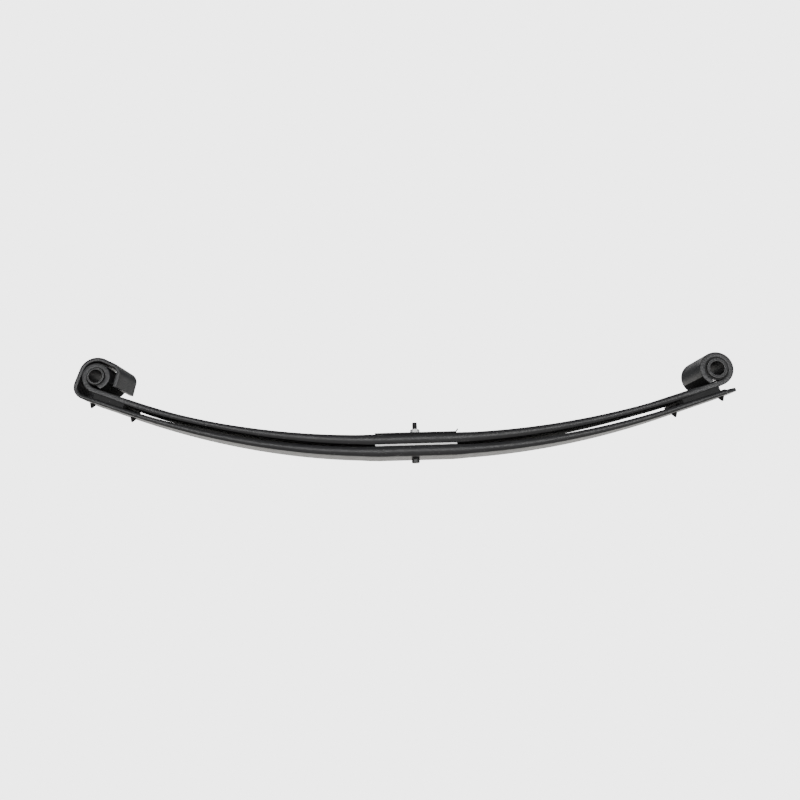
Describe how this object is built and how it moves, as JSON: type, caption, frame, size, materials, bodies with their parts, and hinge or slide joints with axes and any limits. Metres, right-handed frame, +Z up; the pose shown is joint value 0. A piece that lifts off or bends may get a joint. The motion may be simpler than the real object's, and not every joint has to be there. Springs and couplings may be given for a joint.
{
  "type": "leaf spring",
  "caption": "Arched multi-leaf taper spring with a wrapped eye, a plain eye, bushed eyes, tip pads and a centre bolt through the clamped seat.",
  "frame": {"origin": "centre bolt's axis, in the flat underside of the seat", "axes": "+X along the spring to the plain end, Y across its width, +Z up from the axle seat"},
  "size_m": [1.4191, 0.0812, 0.2396],
  "materials": {
    "spring_steel": "satin black paint over rolled spring steel",
    "zinc": "bright zinc plate",
    "sleeve_steel": "dark painted steel tube with bright worn rims",
    "rubber": "matte black rubber",
    "pad_plastic": "matte black moulded plastic"
  },
  "bodies": {
    "clamped_leaves": {"main_leaf": "spring_steel", "second_leaf": "spring_steel", "centre_liner": "zinc", "top_plate": "spring_steel", "centre_bolt": "spring_steel", "centre_nut": "zinc"},
    "wrapped_end": {"wrapped_eye_rubber": "rubber", "wrapped_tip_pad": "pad_plastic"},
    "plain_end": {"plain_eye_rubber": "rubber", "plain_tip_pad": "pad_plastic"},
    "wrapped_sleeve": {"wrapped_eye_sleeve": "sleeve_steel"},
    "plain_sleeve": {"plain_eye_sleeve": "sleeve_steel"}
  },
  "joints": [
    {"name": "wrapped_half_bend", "type": "hinge", "parent": "clamped_leaves", "child": "wrapped_end", "pos_m": [-0.23, 0, 0.0325], "axis": [0, -1, 0], "range_deg": [0, 16], "stiffness_Nm_per_rad": 18800, "deforming": ["main_leaf", "second_leaf"]},
    {"name": "plain_half_bend", "type": "hinge", "parent": "clamped_leaves", "child": "plain_end", "pos_m": [0.23, 0, 0.0325], "axis": [0, 1, 0], "range_deg": [0, 16], "stiffness_Nm_per_rad": 18800, "deforming": ["main_leaf", "second_leaf"]},
    {"name": "wrapped_bush_twist", "type": "hinge", "parent": "wrapped_end", "child": "wrapped_sleeve", "pos_m": [-0.6678, 0, 0.1876], "axis": [0, 1, 0], "range_deg": [-20, 20], "stiffness_Nm_per_rad": 40},
    {"name": "plain_bush_twist", "type": "hinge", "parent": "plain_end", "child": "plain_sleeve", "pos_m": [0.6548, 0, 0.1712], "axis": [0, 1, 0], "range_deg": [-20, 20], "stiffness_Nm_per_rad": 40}
  ]
}
